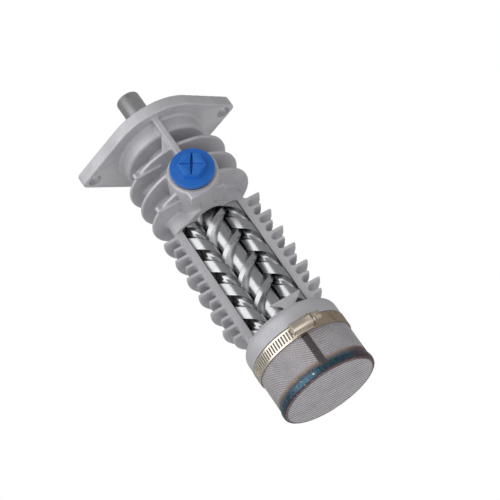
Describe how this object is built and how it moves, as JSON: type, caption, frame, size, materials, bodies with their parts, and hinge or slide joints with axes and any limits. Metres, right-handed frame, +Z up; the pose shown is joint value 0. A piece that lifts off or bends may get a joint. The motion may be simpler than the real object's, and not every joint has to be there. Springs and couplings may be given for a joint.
{
  "type": "three-screw pump",
  "caption": "Upright three-screw pump with a two-bolt flange, ribbed cast casing cut away to show its meshing screws, plugged outlet port and mesh suction strainer.",
  "frame": {"origin": "centre of the strainer's flat bottom, on the pump axis", "axes": "+Z up the pump axis towards the drive shaft; +X along the long axis of the mounting flange; the outlet port and the cutaway window face -Y"},
  "size_m": [0.1242, 0.091, 0.2742],
  "materials": {
    "cast_casing": "matt light-grey casting",
    "machined_steel": "turned",
    "polished_steel": "ground and polished",
    "wire_mesh": "fine woven wire",
    "weld_steel": "heat-tinted weld",
    "seam_steel": "dark folded seam",
    "clamp_steel": "plated",
    "blue_plastic": "moulded",
    "black_rubber": "matt"
  },
  "bodies": {
    "pump_casing": {"boss_foot": "cast_casing", "boss_lug": "cast_casing", "boss_shelf": "cast_casing", "clamp_band": "clamp_steel", "clamp_housing": "clamp_steel", "clamp_screw": "clamp_steel", "flange_neck": "cast_casing", "front_rib": "cast_casing", "mounting_flange": "cast_casing", "outlet_housing": "cast_casing", "outlet_plug": "blue_plastic", "plug_gasket": "black_rubber", "port_boss": "cast_casing", "rib_web": "cast_casing", "rim_weld": "weld_steel", "rotor_housing": "cast_casing", "shaft_seal": "black_rubber", "short_fin_1": "cast_casing", "short_fin_2": "cast_casing", "short_fin_3": "cast_casing", "short_fin_4": "cast_casing", "short_fin_5": "cast_casing", "short_fin_6": "cast_casing", "side_seam": "seam_steel", "strainer_floor": "wire_mesh", "strainer_side": "wire_mesh", "suction_collar": "cast_casing", "tall_fin_1": "cast_casing", "tall_fin_2": "cast_casing", "tall_fin_3": "cast_casing", "tall_fin_4": "cast_casing", "tall_fin_5": "cast_casing", "tall_fin_6": "cast_casing", "thrust_plate": "machined_steel", "tie_bar_lower": "cast_casing", "tie_bar_upper": "cast_casing", "upper_fin_1": "cast_casing", "upper_fin_2": "cast_casing", "upper_fin_3": "cast_casing", "window_bridge": "cast_casing"},
    "drive_rotor": {"drive_screw": "polished_steel"},
    "left_idler": {"idler_screw_left": "polished_steel"},
    "right_idler": {"idler_screw_right": "polished_steel"}
  },
  "joints": [
    {"name": "drive_screw_spin", "type": "hinge", "parent": "pump_casing", "child": "drive_rotor", "pos_m": [0, 0, 0.1], "axis": [0, 0, 1], "continuous": true},
    {"name": "left_idler_spin", "type": "hinge", "parent": "pump_casing", "child": "left_idler", "pos_m": [-0.0154, 0, 0.1], "axis": [0, 0, 1], "continuous": true},
    {"name": "right_idler_spin", "type": "hinge", "parent": "pump_casing", "child": "right_idler", "pos_m": [0.0154, 0, 0.1], "axis": [0, 0, 1], "continuous": true}
  ],
  "couplings": [
    {"joint": "left_idler_spin", "follows": "drive_screw_spin", "ratio": -1},
    {"joint": "right_idler_spin", "follows": "drive_screw_spin", "ratio": -1}
  ]
}
